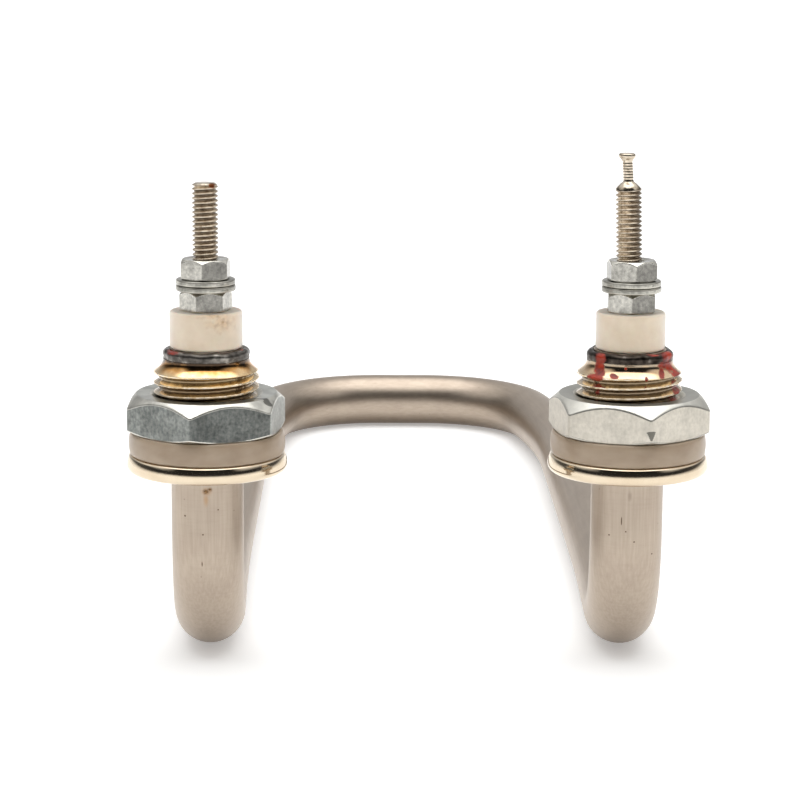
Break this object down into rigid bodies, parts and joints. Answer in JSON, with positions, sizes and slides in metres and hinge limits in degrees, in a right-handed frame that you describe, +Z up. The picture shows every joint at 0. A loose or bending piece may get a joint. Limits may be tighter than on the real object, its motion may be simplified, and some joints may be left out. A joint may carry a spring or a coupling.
{
  "type": "tubular heating element",
  "caption": "Hairpin immersion heating element: a sheathed tube in one loop, with a flanged threaded neck, gasket, nut and screw terminal at each end.",
  "frame": {"origin": "midway between the two neck axes, level with the sealing faces of the two flanges, on which the gaskets sit", "axes": "+X from the left neck to the right neck, +Y from the necks back along the loop, +Z up the necks and terminal studs"},
  "size_m": [0.0885, 0.2089, 0.0796],
  "materials": {
    "sheath_steel": "satin drawn stainless steel tube",
    "resistance_wire": "oxidised nickel chrome wire",
    "magnesia": "compacted magnesia powder",
    "plated_brass": "nickel plated brass, heat tinted at the neck",
    "weld_metal": "dark oxidised weld",
    "gasket_rubber": "milky silicone rubber",
    "zinc_plated_steel": "zinc plated steel, slightly worn",
    "sealing_compound": "red sealing varnish",
    "steatite": "unglazed steatite",
    "stud_steel": "nickel plated steel stud"
  },
  "bodies": {
    "root": {"sheath_tube": "sheath_steel", "resistance_coil": "resistance_wire", "magnesia_filling": "magnesia", "left_threaded_bush": "plated_brass", "right_threaded_bush": "plated_brass", "left_weld_ring": "weld_metal", "right_weld_ring": "weld_metal", "left_gasket": "gasket_rubber", "right_gasket": "gasket_rubber", "left_mounting_nut": "zinc_plated_steel", "right_mounting_nut": "zinc_plated_steel", "left_end_seal": "sealing_compound", "right_end_seal": "sealing_compound", "left_ceramic_bead": "steatite", "right_ceramic_bead": "steatite", "left_terminal_stud": "stud_steel", "right_terminal_stud": "stud_steel", "left_lower_terminal_nut": "zinc_plated_steel", "right_lower_terminal_nut": "zinc_plated_steel", "left_lower_washer": "zinc_plated_steel", "right_lower_washer": "zinc_plated_steel", "left_upper_washer": "zinc_plated_steel", "right_upper_washer": "zinc_plated_steel", "left_upper_terminal_nut": "zinc_plated_steel", "right_upper_terminal_nut": "zinc_plated_steel"}
  },
  "joints": []
}
